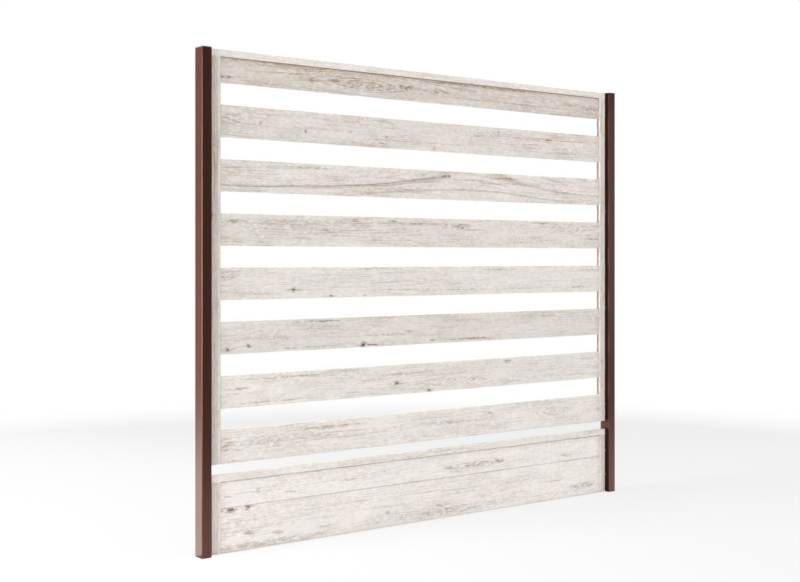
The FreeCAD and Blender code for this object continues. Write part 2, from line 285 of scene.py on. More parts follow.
def new_group(name, kind, inputs, outputs):
    """An empty node group; returns its net, its inputs by name and a call that fills its outputs."""
    tree = bpy.data.node_groups.new(name, kind)
    for socket, form in inputs.items():
        tree.interface.new_socket(name=socket, in_out="INPUT", socket_type=SOCKET_KINDS[form])
    for socket, form in outputs.items():
        tree.interface.new_socket(name=socket, in_out="OUTPUT", socket_type=SOCKET_KINDS[form])
    net = Net(tree)
    entry = net.node("NodeGroupInput")
    given = {socket: Flow(net, entry.outputs[socket]) for socket in inputs}

    def finish(**results):
        leave = net.node("NodeGroupOutput")
        for socket, value in results.items():
            net.put(value, leave.inputs[socket])
        return tree

    return net, given, finish


def use_group(net, tree, inputs):
    """Adds a shader group to a net; returns its outputs by name."""
    made = net.node("ShaderNodeGroup", node_tree=tree)
    for socket, value in inputs.items():
        net.put(value, made.inputs[socket])
    return {socket.name: Flow(net, socket) for socket in made.outputs}


# Materials

def new_material(name):
    """A material with one shader; returns it, its net and the shader node."""
    material = bpy.data.materials.new(name)
    material.use_nodes = True
    net = Net(material.node_tree)
    shader = material.node_tree.nodes["Principled BSDF"]
    return material, net, shader


def object_place(net):
    return net.out("ShaderNodeTexCoord", output="Object")


def relief(net, shader, height, depth):
    """Bumps the shader by a height from 0 to 1 that stands for depth metres."""
    net.put(net.out("ShaderNodeBump", {"Height": height, "Strength": 1.0, "Distance": depth}),
            shader.inputs["Normal"])


MARK_INPUTS = {"Place": "vector", "X": "float", "H": "float", "Length": "float", "Height": "float",
               "Dark": "float"}


def oval_place(net, given):
    """Where a point lies in a mark's oval: along it, across it and from its middle, with its rim at 1."""
    x, _, h = net.parts(given["Place"])
    along = (x - given["X"]) / given["Length"]
    across = (h - given["H"]) / given["Height"]
    return along, across, net.math("SQRT", along * along + across * across)


def grain_mark_group():
    """One soft dark mark, longer along the grain than across it."""
    net, given, finish = new_group("Grain mark", "ShaderNodeTree", MARK_INPUTS, {"Mark": "float"})
    _, _, radius = oval_place(net, given)
    return finish(Mark=net.ramp(radius, 1.35, 0.30) * given["Dark"])


def knot_group():
    """A knot: a dark heart, a paler collar and a thin brown rim round it."""
    net, given, finish = new_group(
        "Knot", "ShaderNodeTree", MARK_INPUTS, {"Heart": "float", "Rim": "float"})
    along, across, radius = oval_place(net, given)
    heart = net.ramp(radius, 1.05, 0.45) * given["Dark"]
    rim = net.ramp(net.math("ABSOLUTE", radius - 1.3), 0.9, 0.0) * 0.38
    # Brown grain that runs out of the knot to both sides
    tail = net.ramp(net.math("ABSOLUTE", across), 0.9, 0.1)
    tail = tail * net.ramp(net.math("ABSOLUTE", along), 5.5, 0.8) * 0.5
    return finish(Heart=heart, Rim=net.math("MAXIMUM", rim, tail))


def ring_figure_group():
    """How far a point of the board's face lies from the tree's heart, which gives the figure."""
    net, given, finish = new_group(
        "Ring figure", "ShaderNodeTree",
        {"Place": "vector", "X": "float", "H": "float", "Reach": "float", "Depth": "float",
         "Waist": "float"}, {"Distance": "float", "Near": "float"})
    x, _, h = net.parts(given["Place"])
    along = (x - given["X"]) / given["Reach"]
    across = h - given["H"]
    square = along * along
    near = 1.0 / (square + 1.0)
    oval = square * near
    share = oval + (near - oval) * given["Waist"]
    depth = given["Depth"] * given["Depth"] * share
    distance = net.math("SQRT", across * across + depth)
    near = net.ramp(distance, given["Depth"] * 0.95, given["Depth"] * 0.45) * (1.0 - given["Waist"])
    return finish(Distance=distance, Near=near)


def washed_oak_group():
    """Limed oak: a pale wash over short fibres, streaks, growth lines, curls, pores and marks."""
    net, given, finish = new_group(
        "Washed oak", "ShaderNodeTree",
        {"Place": "vector", "Seed": "float", "Rings": "float", "Near": "float", "Line": "float",
         "Tone": "float", "Shade": "float", "Marks": "float", "Hearts": "float",
         "Wash": "colour", "Streak": "colour", "Knot": "colour"},
        {"Color": "colour", "Roughness": "float", "Height": "float"})
    place = given["Place"]
    seed = given["Seed"]
    broad = net.noise(place, (0.50, 0.08, 0.050), 2.0, 0.5, seed)
    cloud = net.noise(place, (0.17, 0.05, 0.050), 3.0, 0.6, seed + 11.0)
    streak = net.noise(place, (0.17, 0.03, 0.0065), 3.0, 0.60, seed + 3.0)
    fibre = net.noise(place, (0.020, 0.02, 0.0074), 3.0, 0.62, seed + 5.0)
    pore = net.noise(place, (0.017, 0.004, 0.00070), 1.0, 0.5, seed + 7.0)

    phase = net.math("FRACT", given["Rings"] / RING_SPACING + cloud * 1.6 + fibre * 0.7)
    line = phase * phase * net.ramp(phase, 1.0, 0.86) * net.ramp(fibre, 0.34, 0.60, 0.25, 1.0)
    shown = net.ramp(broad, 0.40, 0.62, 0.10, 1.0) * given["Line"]
    shown = net.math("MAXIMUM", shown, given["Near"])

    swirl = net.noise(place, (0.055, 0.03, 0.019), 2.0, 0.55, seed + 15.0) * 7.0
    curl = net.ramp(net.math("PINGPONG", swirl, 0.5), 0.17, 0.02)
    knurled = net.ramp(cloud, 0.48, 0.62)

    dense = net.ramp(broad, 0.30, 0.70, 0.30, 1.0)
    stain = net.ramp(streak, 0.48, 0.70) * dense * STREAK_STAIN
    stain = stain + line * shown * RING_STAIN + curl * knurled * CURL_STAIN
    stain = stain + (fibre - 0.5) * FIBRE_STAIN
    stain = stain + net.ramp(pore, 0.60, 0.70) * PORE_STAIN
    # Shade brings in the boards' painted shade at their ends and under the rails, their dark joints and
    # veins, and the stiles' paler strip
    stain = stain + (cloud - 0.5) * CLOUD_STAIN + given["Tone"] + given["Shade"] + BARE_STAIN
    ragged = net.ramp(fibre, 0.36, 0.64, 0.25, 1.40)
    brown = given["Marks"] * (ragged + curl * 0.35)
    stain = net.math("ADD", stain, net.math("MINIMUM", brown, MARK_STAIN), clamp=True)

    hue = net.ramp(net.noise(place, (0.13, 0.1, 0.055), 1.0, 0.5, seed + 13.0), 0.34, 0.66)
    blush = net.ramp(net.noise(place, (0.11, 0.1, 0.050), 1.0, 0.5, seed + 17.0), 0.34, 0.66)
    wash = net.mix(hue, given["Wash"], net.mix(1.0, given["Wash"], COOL_WASH, "MULTIPLY"))
    wash = net.mix(blush, wash, net.mix(1.0, wash, PINK_WASH, "MULTIPLY"))
    streaks = net.mix(hue, given["Streak"], net.mix(0.30, given["Streak"], GREY_STREAK))
    colour = net.mix(stain, wash, streaks)
    core = net.math("MAXIMUM", net.ramp(brown, 0.62, 1.25), given["Hearts"])
    colour = net.mix(core, colour, given["Knot"])
    height = 1.0 - net.ramp(pore, 0.58, 0.70) * 0.7 - net.ramp(fibre, 0.4, 0.8) * 0.3
    roughness = net.ramp(stain, 0.0, 1.0, 0.50, 0.62)
    return finish(Color=colour, Roughness=roughness, Height=height)


def bent_place(net, place, seed):
    """Lets the grain wander a little up and down along a board."""
    slow = net.noise(place, (0.45, 0.3, 0.12), 1.0, 0.5, seed + 21.0)
    quick = net.noise(place, (0.06, 0.05, 0.02), 2.0, 0.5, seed + 23.0)
    rise = (slow - 0.5) * 0.024 + (quick - 0.5) * 0.0045
    shift = net.vector((quick - 0.5) * 0.03, 0.0, rise)
    return net.vector_math("ADD", place, shift)


class OakShop:
    """The node groups and colours that all oak materials share."""

    def __init__(self, finish):
        groups = bpy.data.node_groups
        self.oak = once(groups, "Washed oak", washed_oak_group)
        self.mark = once(groups, "Grain mark", grain_mark_group)
        self.knot = once(groups, "Knot", knot_group)
        self.figure = once(groups, "Ring figure", ring_figure_group)
        self.colours = {"Wash": tuple(finish.wash) + (1.0,), "Streak": tuple(finish.streak) + (1.0,),
                        "Knot": tuple(finish.knot) + (1.0,)}
        self.depth = finish.grain_depth

    def marks(self, net, place, marks):
        """All marks of one board: their brown and the dark hearts of its knots, as two flows."""
        brown = 0.0
        hearts = 0.0
        for mark in marks:
            inputs = {"Place": place, "X": mark.x * MM, "H": mark.h * MM,
                      "Length": mark.length * MM, "Height": mark.height * MM, "Dark": mark.dark}
            if mark.dark < KNOT_DARK:
                brown = net.math("MAXIMUM", use_group(net, self.mark, inputs)["Mark"], brown)
            else:
                knot = use_group(net, self.knot, inputs)
                hearts = net.math("MAXIMUM", knot["Heart"], hearts)
                brown = net.math("MAXIMUM", knot["Rim"], brown)
        return brown, hearts

    def veins(self, net, place, rings, veins):
        """Dark growth lines at set distances from the heart."""
        x = net.parts(place)[0]
        total = 0.0
        for vein in veins:
            gap = net.math("ABSOLUTE", rings - vein.distance * MM)
            line = net.ramp(gap, vein.width * MM, 0.0) * vein.dark
            left = net.ramp(x, vein.left * MM, vein.left * MM + VEIN_FADE)
            right = net.ramp(x, vein.right * MM, vein.right * MM - VEIN_FADE)
            total = net.math("MAXIMUM", line * left * right, total)
        return total

    def painted_shade_and_joints(self, net, local, half_opening, rail_shadow, joint):
        """Painted shade where a board meets stile and rail, as dark lines with shade that fades from them,
        and the dark joint where it meets its neighbour.
        """
        x, _, h = net.parts(local)
        inward = half_opening - net.math("ABSOLUTE", x)
        # Painted shade at both ends: a dark line at each stile's edge, and shade that fades over 45 mm from
        # it
        shade = net.ramp(inward, 0.005, 0.001) * 0.24 + net.ramp(inward, 0.045, 0.0) * 0.10
        if rail_shadow:
            # Painted shadow under the rail: a dark line just below its lower edge, and shade that fades 30 mm
            # down from it
            below = rail_shadow.height - h
            line = net.ramp(net.math("ABSOLUTE", below - 0.0015), 0.0042, 0.0010)
            shade = shade + line * rail_shadow.dark + net.ramp(below, 0.030, 0.0) * rail_shadow.dark * 0.28
        if joint is not None:
            shade = shade + net.ramp(net.math("ABSOLUTE", h - joint), 0.0034, 0.0008) * JOINT_DARK
        return shade

    def board(self, name, foot, half_opening, rail_shadow, joint):
        """One board's own oak, with its figure, veins and marks in their places over its foot."""
        grain = BOARD_GRAIN[name]
        material, net, shader = new_material(name + "_oak")
        local = net.vector_math("SUBTRACT", object_place(net), (0.0, 0.0, foot))
        place = bent_place(net, local, grain.seed)
        figure = grain.figure
        rings = use_group(net, self.figure,
                          {"Place": place, "X": figure.x * MM, "H": figure.h * MM,
                           "Reach": figure.reach * MM, "Depth": figure.depth * MM,
                           "Waist": 1.0 if figure.waist else 0.0})
        wobble = net.noise(local, (0.018, 0.01, 0.007), 3.0, 0.65, grain.seed + 31.0)
        waver = net.noise(local, (0.030, 0.01, 0.009), 3.0, 0.65, grain.seed + 33.0)
        shaky = net.vector_math("ADD", local, net.vector((waver - 0.5) * 0.030, 0.0,
                                                         (wobble - 0.5) * 0.009))
        brown, hearts = self.marks(net, shaky, grain.marks)
        # Painted shade at the board's ends and under its rail, and the dark joint to its neighbour
        shade = self.painted_shade_and_joints(net, local, half_opening, rail_shadow, joint)
        if grain.veins:
            shade = shade + self.veins(net, place, rings["Distance"], grain.veins)
        self.finish(net, shader, {"Place": place, "Seed": grain.seed, "Rings": rings["Distance"],
                                  "Near": rings["Near"], "Line": grain.line, "Tone": grain.tone,
                                  "Shade": shade, "Marks": brown, "Hearts": hearts})
        return material

    def trim(self, name, seed, tone, upright=False, pale_edge=None):
        """Straight-grained oak for the frame, along X or, for the stiles, along Z."""
        material, net, shader = new_material(name)
        place = object_place(net)
        shade = 0.0
        if upright:
            x, y, z = net.parts(place)
            place = net.vector(z, y, x)
            shade = net.ramp(net.math("ABSOLUTE", x) - pale_edge, 0.0, 0.002, -0.16, 0.0)
        place = bent_place(net, place, seed)
        self.finish(net, shader, {"Place": place, "Seed": seed, "Rings": net.parts(place)[2],
                                  "Near": 0.0, "Line": 0.35, "Tone": tone, "Shade": shade,
                                  "Marks": 0.0, "Hearts": 0.0})
        return material

    def finish(self, net, shader, inputs):
        oak = use_group(net, self.oak, {**inputs, **self.colours})
        net.put(oak["Color"], shader.inputs["Base Color"])
        net.put(oak["Roughness"], shader.inputs["Roughness"])
        shader.inputs["Specular IOR Level"].default_value = 0.2
        relief(net, shader, oak["Height"], self.depth)


def coat_material(finish):
    """Brown powder coat: a faint orange peel with fine metallic grit under it."""
    material, net, shader = new_material("brown_post_coat")
    place = object_place(net)
    peel = net.noise(place, (0.0016, 0.0016, 0.0016), 2.0, 0.5, 1.0)
    grit = net.noise(place, (0.0005, 0.0005, 0.0005), 1.0, 0.5, 2.0)
    drift = net.noise(place, (0.3, 0.3, 0.6), 2.0, 0.5, 3.0)
    base = tuple(finish.coat) + (1.0,)
    lighter = tuple(channel * 1.35 for channel in finish.coat) + (1.0,)
    darker = tuple(channel * 0.88 for channel in finish.coat) + (1.0,)
    colour = net.mix(net.ramp(grit, 0.55, 0.75), net.mix(drift, darker, base), lighter)
    net.put(colour, shader.inputs["Base Color"])
    net.put(net.ramp(peel, 0.2, 0.8, 0.30, 0.38), shader.inputs["Roughness"])
    shader.inputs["Metallic"].default_value = 0.3
    shader.inputs["Specular IOR Level"].default_value = 0.115
    relief(net, shader, peel, finish.peel_depth)
    return material


def plastic_material(name, colour, roughness):
    """Moulded plastic with a fine spark-eroded texture."""
    material, net, shader = new_material(name)
    place = object_place(net)
    texture = net.noise(place, (0.0006, 0.0006, 0.0006), 2.0, 0.6, 4.0)
    drift = net.noise(place, (0.03, 0.03, 0.03), 2.0, 0.5, 5.0)
    darker = tuple(channel * 0.8 for channel in colour) + (1.0,)
    net.put(net.mix(drift, darker, tuple(colour) + (1.0,)), shader.inputs["Base Color"])
    net.put(net.ramp(texture, 0.2, 0.8, roughness - 0.05, roughness + 0.08), shader.inputs["Roughness"])
    relief(net, shader, texture, PLASTIC_GRAIN)
    return material


def steel_material(finish):
    """Stainless steel with a faint drawn grain."""
    material, net, shader = new_material("stainless_steel")
    place = object_place(net)
    brushed = net.noise(place, (0.004, 0.0003, 0.0003), 2.0, 0.6, 6.0)
    bloom = net.noise(place, (0.004, 0.004, 0.004), 2.0, 0.5, 7.0)
    base = tuple(finish.steel) + (1.0,)
    duller = tuple(channel * 0.75 for channel in finish.steel) + (1.0,)
    net.put(net.mix(bloom, duller, base), shader.inputs["Base Color"])
    net.put(net.ramp(brushed, 0.2, 0.8, 0.26, 0.42), shader.inputs["Roughness"])
    shader.inputs["Metallic"].default_value = 1.0
    relief(net, shader, brushed, STEEL_GRAIN)
    return material


def steel(finish):
    """The one steel of all screws, bolts and rivet nuts."""
    return once(bpy.data.materials, "stainless_steel", steel_material, finish)


def cap_plastic(finish):
    """The one plastic of the caps and sleeves."""
    return once(bpy.data.materials, "cap_plastic", plastic_material, "cap_plastic", finish.cap, 0.5)


# Geometry trees

def joined(net, *meshes):
    """Several meshes as one, merged where they meet."""
    pile = net.node("GeometryNodeJoinGeometry")
    for mesh in meshes:
        net.put(mesh, pile.inputs[0])
    return net.out("GeometryNodeMergeByDistance",
                   {"Geometry": Flow(net, pile.outputs[0]), "Distance": WELD})


def rounded_outline(net, width, height, radius, steps):
    """A rectangle's outline with round corners."""
    outline = net.out("GeometryNodeCurvePrimitiveQuadrilateral",
                      {"Width": width, "Height": height}, mode="RECTANGLE")
    return net.out("GeometryNodeFilletCurve",
                   {"Curve": outline, "Count": steps, "Radius": radius}, mode="POLY")


def drawn_out(net, section, length):
    """A closed bar that runs from a flat section upwards."""
    end = net.out("GeometryNodeFillCurve", {"Curve": section}, mode="TRIANGLES")
    sides = net.out("GeometryNodeExtrudeMesh",
                    {"Mesh": end, "Offset": (0.0, 0.0, 1.0), "Offset Scale": length,
                     "Individual": False}, mode="FACES")
    return joined(net, net.out("GeometryNodeFlipFaces", {"Mesh": end}), sides)


def on_points(net, given, piece, spin=0.0):
    """Sets a piece on each point, turned by the point and spun about its own axis at random."""
    turn = net.out("GeometryNodeInputNamedAttribute", {"Name": "turn"}, data_type="FLOAT_VECTOR")
    rotation = net.out("FunctionNodeEulerToRotation", {"Euler": turn})
    random = net.out("FunctionNodeRandomValue", {2: 0.0, 3: spin, "Seed": SPIN_SEED}, output=1,
                     data_type="FLOAT")
    own = net.out("FunctionNodeEulerToRotation", {"Euler": net.vector(0.0, 0.0, random)})
    rotation = net.out("FunctionNodeRotateRotation", {"Rotation": rotation, "Rotate By": own},
                       rotation_space="LOCAL")
    copies = net.out("GeometryNodeInstanceOnPoints",
                     {"Points": given["Points"], "Instance": piece, "Rotation": rotation})
    copies = net.out("GeometryNodeRealizeInstances", {"Geometry": copies})
    return net.out("GeometryNodeSetMaterial", {"Geometry": copies, "Material": given["Material"]})


def point_group(name, sizes, steps):
    """A tree that stands copies of a piece on points, with inputs for its sizes and counts."""
    inputs = {"Points": "mesh"}
    inputs.update({size: "float" for size in sizes})
    inputs.update({count: "int" for count in steps})
    inputs["Material"] = "material"
    return new_group(name, "GeometryNodeTree", inputs, {"Mesh": "mesh"})


def hollow_profile_tree():
    """A hollow bar with ribs: a rounded outline with a row of cells, drawn out to its length."""
    net, given, finish = point_group(
        "Hollow profile", ["Width", "Height", "Length", "Wall", "Outer radius", "Inner radius"],
        ["Cells", "Corner steps"])
    steps = given["Corner steps"]
    outer = rounded_outline(net, given["Width"], given["Height"], given["Outer radius"], steps)
    walls = given["Wall"] * (given["Cells"] + 1)
    cell_height = (given["Height"] - walls) / given["Cells"]
    cell_width = given["Width"] - given["Wall"] * 2.0
    cell = rounded_outline(net, cell_width, cell_height, given["Inner radius"], steps)
    pitch = cell_height + given["Wall"]
    first = pitch * ((given["Cells"] - 1.0) * -0.5)
    row = net.out("GeometryNodeMeshLine",
                  {"Count": given["Cells"], "Start Location": net.vector(0.0, first, 0.0),
                   "Offset": net.vector(0.0, pitch, 0.0)})
    cells = net.out("GeometryNodeInstanceOnPoints", {"Points": row, "Instance": cell})
    cells = net.out("GeometryNodeRealizeInstances", {"Geometry": cells})
    section = net.node("GeometryNodeJoinGeometry")
    net.put(cells, section.inputs[0])
    net.put(outer, section.inputs[0])
    bar = drawn_out(net, Flow(net, section.outputs[0]), given["Length"])
    return finish(Mesh=on_points(net, given, bar))


def hollow_profile():
    """The one tree of all boards and posts."""
    return once(bpy.data.node_groups, "Hollow profile", hollow_profile_tree)


def spacer_tree():
    """Solid blocks with round upright edges."""
    net, given, finish = point_group(
        "Spacer blocks", ["Width", "Depth", "Height", "Edge radius"], ["Corner steps"])
    section = rounded_outline(net, given["Width"], given["Depth"], given["Edge radius"],
                              given["Corner steps"])
    return finish(Mesh=on_points(net, given, drawn_out(net, section, given["Height"])))


def spun(net, grid, turn, radius, height):
    """Wraps a grid round Z, where turn goes from -0.5 to 0.5 round the circle."""
    angle = turn * math.tau
    place = net.vector(radius * net.math("COSINE", angle), radius * net.math("SINE", angle), height)
    return net.out("GeometryNodeSetPosition", {"Geometry": grid, "Position": place})


def pick(net, index, values):
    """The value in a list that an index points to."""
    switch = net.node("GeometryNodeIndexSwitch", {"Index": index}, data_type="FLOAT")
    for _ in values[2:]:
        switch.index_switch_items.new()
    for place, value in enumerate(values):
        net.put(value, switch.inputs[place + 1])
    return Flow(net, switch.outputs[0])


def turned(net, steps, outline):
    """A turned shape: points of (radius, height), from its top to its foot, spun round Z."""
    last = len(outline) - 1
    grid = net.out("GeometryNodeMeshGrid",
                   {"Size X": float(last), "Size Y": 1.0, "Vertices X": last + 1,
                    "Vertices Y": steps + 1.0}, output="Mesh")
    row, turn, _ = net.parts(net.out("GeometryNodeInputPosition"))
    row = net.math("ROUND", row + last / 2)
    radius = pick(net, row, [radius for radius, height in outline])
    height = pick(net, row, [height for radius, height in outline])
    return spun(net, grid, turn, radius, height)


def threaded(net, steps, top, length, root, depth, pitch):
    """A shank whose thread is a helix that runs out at both ends."""
    rows = net.math("ROUND", length / pitch * THREAD_ROWS)
    grid = net.out("GeometryNodeMeshGrid",
                   {"Size X": 1.0, "Size Y": 1.0, "Vertices X": rows + 1.0,
                    "Vertices Y": steps + 1.0}, output="Mesh")
    row, turn, _ = net.parts(net.out("GeometryNodeInputPosition"))
    below = (row + 0.5) * length
    ridge = net.math("PINGPONG", below / pitch + turn, 0.5) * 2.0
    runout = net.math("MINIMUM", net.ramp(below, 0.0, pitch), net.ramp(length - below, 0.0, pitch))
    return spun(net, grid, turn, root + depth * ridge * runout, top - below)


def cut_from(net, body, *tools):
    """A body with tools taken out of it."""
    cut = net.node("GeometryNodeMeshBoolean", {"Mesh 1": body}, operation="DIFFERENCE", solver="EXACT")
    for tool in tools:
        net.put(tool, cut.inputs["Mesh 2"])
    return Flow(net, cut.outputs[0])


def screw_tree():
    """Countersunk screws with a cross recess; the head's face lies at the point."""
    net, given, finish = point_group(
        "Countersunk screws",
        ["Head radius", "Head height", "Shank radius", "Length", "Pitch", "Thread depth",
         "Recess span", "Recess width", "Recess depth"], ["Steps"])
    steps = given["Steps"]
    root = given["Shank radius"] - given["Thread depth"]
    neck = given["Head height"] * -1.0
    foot = given["Length"] * -1.0
    shoulder = foot + given["Pitch"]
    head = turned(net, steps, [(0.0, 0.0), (given["Head radius"], 0.0), (root, neck)])
    shank = threaded(net, steps, neck, neck - shoulder, root, given["Thread depth"], given["Pitch"])
    tip = turned(net, steps, [(root, shoulder), (root * 0.35, foot), (0.0, foot)])
    deep = given["Recess depth"] * 2.0
    slots = []
    for x, y in ((given["Recess span"], given["Recess width"]),
                 (given["Recess width"], given["Recess span"])):
        slots.append(net.out("GeometryNodeMeshCube", {"Size": net.vector(x, y, deep)}, output="Mesh"))
    screw = cut_from(net, joined(net, head, shank, tip), *slots)
    return finish(Mesh=on_points(net, given, screw, spin=math.pi))


def bolt_tree():
    """Button-head bolts with a hexagon socket; the head's top lies at the point."""
    net, given, finish = point_group(
        "Button-head bolts",
        ["Head radius", "Head height", "Shank radius", "Length", "Pitch", "Thread depth",
         "Socket radius", "Socket depth"], ["Steps"])
    steps = given["Steps"]
    rim = given["Head radius"]
    root = given["Shank radius"] - given["Thread depth"]
    seat = given["Head height"] * -1.0
    foot = given["Length"] * -1.0
    shoulder = foot + given["Pitch"]
    head = turned(net, steps, [(0.0, 0.0), (rim * 0.55, 0.0), (rim * 0.78, seat * 0.13),
                               (rim * 0.93, seat * 0.36), (rim, seat * 0.70), (rim, seat),
                               (root, seat)])
    shank = threaded(net, steps, seat, seat - shoulder, root, given["Thread depth"], given["Pitch"])
    tip = turned(net, steps, [(root, shoulder), (root * 0.8, foot), (0.0, foot)])
    socket = net.out("GeometryNodeMeshCylinder",
                     {"Vertices": 6, "Radius": given["Socket radius"],
                      "Depth": given["Socket depth"] * 2.0}, output="Mesh")
    # Half a step of turn keeps the socket's corners off the head's own edges
    turn = net.out("FunctionNodeEulerToRotation", {"Euler": net.vector(0.0, 0.0, math.pi / steps)})
    socket = net.out("GeometryNodeTransform", {"Geometry": socket, "Rotation": turn})
    bolt = cut_from(net, joined(net, head, shank, tip), socket)
    return finish(Mesh=on_points(net, given, bolt, spin=math.pi))


def nut_tree():
    """Rivet nuts with a flange and a crimped bulge; the flange's face lies at the point."""
    net, given, finish = point_group(
        "Rivet nuts",
        ["Flange radius", "Flange height", "Body radius", "Bulge radius", "Bulge height", "Bore",
         "Post wall", "Length"], ["Steps"])
    body = given["Body radius"]
    bore = given["Bore"]
    flange = given["Flange height"] * -1.0
    wall = flange - given["Post wall"]
    crimp = wall - given["Bulge height"]
    foot = given["Length"] * -1.0
    nut = turned(net, given["Steps"], [
        (bore, 0.0), (given["Flange radius"], 0.0), (given["Flange radius"], flange), (body, flange),
        (body, wall), (given["Bulge radius"], wall + (crimp - wall) * 0.25),
        (given["Bulge radius"], wall + (crimp - wall) * 0.75), (body, crimp), (body, foot),
        (bore, foot), (bore, 0.0)])
    return finish(Mesh=on_points(net, given, joined(net, nut)))


def sleeve_tree():
    """Plain tubes; one end lies at the point."""
    net, given, finish = point_group("Spacer sleeves", ["Radius", "Bore", "Length"], ["Steps"])
    foot = given["Length"] * -1.0
    sleeve = turned(net, given["Steps"], [
        (given["Bore"], 0.0), (given["Radius"], 0.0), (given["Radius"], foot), (given["Bore"], foot),
        (given["Bore"], 0.0)])
    return finish(Mesh=on_points(net, given, joined(net, sleeve)))


# Pieces

def points_at(name, places, turns):
    """Bare points, each with the turn of the piece that stands on it."""
    mesh = bpy.data.meshes.new(name)
    mesh.from_pydata(places, [], [])
    attribute = mesh.attributes.new("turn", "FLOAT_VECTOR", "POINT")
    for point, turn in zip(attribute.data, turns):
        point.vector = turn
    return mesh


def loose_boxes(node):
    """The boxes of the separate solids in a CAD node, from the lowest left one on."""
    merged = bmesh.new()
    merged.from_mesh(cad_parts[node].data)
    bmesh.ops.remove_doubles(merged, verts=merged.verts, dist=WELD)
    waiting = set(merged.verts)
    boxes = []
    while waiting:
        reached = [waiting.pop()]
        solid = []
        while reached:
            vertex = reached.pop()
            solid.append(vertex.co.copy())
            near = {edge.other_vert(vertex) for edge in vertex.link_edges} & waiting
            waiting -= near
            reached += near
        low = Vector([min(place[axis] for place in solid) for axis in range(3)])
        high = Vector([max(place[axis] for place in solid) for axis in range(3)])
        boxes.append((low, high))
    merged.free()
    return sorted(boxes, key=lambda box: (round(box[0].z, 4), round(box[0].x, 4)))


def facing_back(middle):
    return Vector((0.0, 1.0, 0.0))


def facing_down(middle):
    return Vector((0.0, 0.0, -1.0))


def facing_middle(middle):
    return Vector((-math.copysign(1.0, middle.x), 0.0, 0.0))


def heads(node, facing):
    """Points at the heads of a CAD node's like fasteners, with a fastener's radius and length."""
    places = []
    turns = []
    for low, high in loose_boxes(node):
        size = high - low
        middle = (low + high) / 2
        way = facing(middle)
        length = abs(way.dot(size))
        across = [abs(side) for side in size - way * way.dot(size)]
        radius = max(across) / 2
        places.append(middle + way * length / 2)
        turns.append(way.to_track_quat("Z", "Y").to_euler())
    return points_at(node + "_heads", places, turns), radius, length


def grown_piece(name, points, tree, inputs):
    """Runs a geometry tree on points and returns the result as a plain object at the origin."""
    grower = bpy.data.objects.new(name + "_grower", points)
    bpy.context.scene.collection.objects.link(grower)
    modifier = grower.modifiers.new("Grow", "NODES")
    modifier.node_group = tree
    sockets = {item.name: item.identifier for item in tree.interface.items_tree
               if item.in_out == "INPUT"}
    for socket, value in inputs.items():
        modifier[sockets[socket]] = value
    grown = plain_mesh(name + "_grown", grower)
    grower.modifiers.remove(modifier)
    bpy.data.objects.remove(grower)
    return smooth_piece(name, grown)


def plain_mesh(name, source):
    """What an object looks like with its modifiers, as a mesh of its own."""
    graph = bpy.context.evaluated_depsgraph_get()
    mesh = bpy.data.meshes.new_from_object(source.evaluated_get(graph), preserve_all_data_layers=True,
                                           depsgraph=graph)
    mesh.name = name
    return mesh


def smooth_piece(name, mesh):
    """Smooths a mesh's gentle bends, with flat faces kept flat, as an object at the origin."""
    mesh.polygons.foreach_set("use_smooth", [True] * len(mesh.polygons))
    mesh.set_sharp_from_angle(angle=math.radians(SHARP_ANGLE))
    rough = bpy.data.objects.new(name + "_rough", mesh)
    bpy.context.scene.collection.objects.link(rough)
    weighted = rough.modifiers.new("Flat faces", "WEIGHTED_NORMAL")
    weighted.keep_sharp = True
    weighted.mode = "FACE_AREA"
    weighted.weight = 100
    final = plain_mesh(name, rough)
    rough.modifiers.remove(weighted)
    bpy.data.objects.remove(rough)
    piece = bpy.data.objects.new(name, final)
    bpy.context.scene.collection.objects.link(piece)
    return piece


def stand_for(piece, slot, *nodes):
    """Makes a finished piece ride on the screen in place of its CAD nodes."""
    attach(piece, BODY)
    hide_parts(*nodes)


def dress(node, material):
    """Gives a CAD node its material."""
    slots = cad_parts[node].data.materials
    slots.clear()
    slots.append(material)


# Settings

class ScreenFinish(bpy.types.PropertyGroup):
    """Colours and surface depths of the screen."""

    wash: bpy.props.FloatVectorProperty(
        name="Wash", description="Pale wash over the oak", subtype="COLOR", size=3,
        min=0.0, max=1.0, default=(0.82, 0.78, 0.735))
    streak: bpy.props.FloatVectorProperty(
        name="Streak", description="Grain that shows through the wash", subtype="COLOR", size=3,
        min=0.0, max=1.0, default=(0.33, 0.24, 0.165))
    knot: bpy.props.FloatVectorProperty(
        name="Knot", description="Knots and dark marks", subtype="COLOR", size=3,
        min=0.0, max=1.0, default=(0.110, 0.072, 0.048))
    coat: bpy.props.FloatVectorProperty(
        name="Post coat", description="Powder coat of the posts", subtype="COLOR", size=3,
        min=0.0, max=1.0, default=(0.035, 0.0098, 0.0045))
    steel: bpy.props.FloatVectorProperty(
        name="Steel", description="Screws, bolts and rivet nuts", subtype="COLOR", size=3,
        min=0.0, max=1.0, default=(0.62, 0.62, 0.60))
    cap: bpy.props.FloatVectorProperty(
        name="Cap plastic", description="Post caps and sleeves", subtype="COLOR", size=3,
        min=0.0, max=1.0, default=(0.022, 0.018, 0.016))
    spacer: bpy.props.FloatVectorProperty(
        name="Spacer plastic", description="Spacers between the boards", subtype="COLOR", size=3,
        min=0.0, max=1.0, default=(0.22, 0.15, 0.115))
    block: bpy.props.FloatVectorProperty(
        name="Block plastic", description="Corner blocks inside the frame", subtype="COLOR", size=3,
        min=0.0, max=1.0, default=(0.05, 0.05, 0.05))
    grain_depth: bpy.props.FloatProperty(
        name="Grain depth", description="Depth of the pores in the oak", subtype="DISTANCE",
        min=0.0, default=0.00012)
    peel_depth: bpy.props.FloatProperty(
        name="Orange peel", description="Height of the ripple in the powder coat", subtype="DISTANCE",
        min=0.0, default=0.00003)


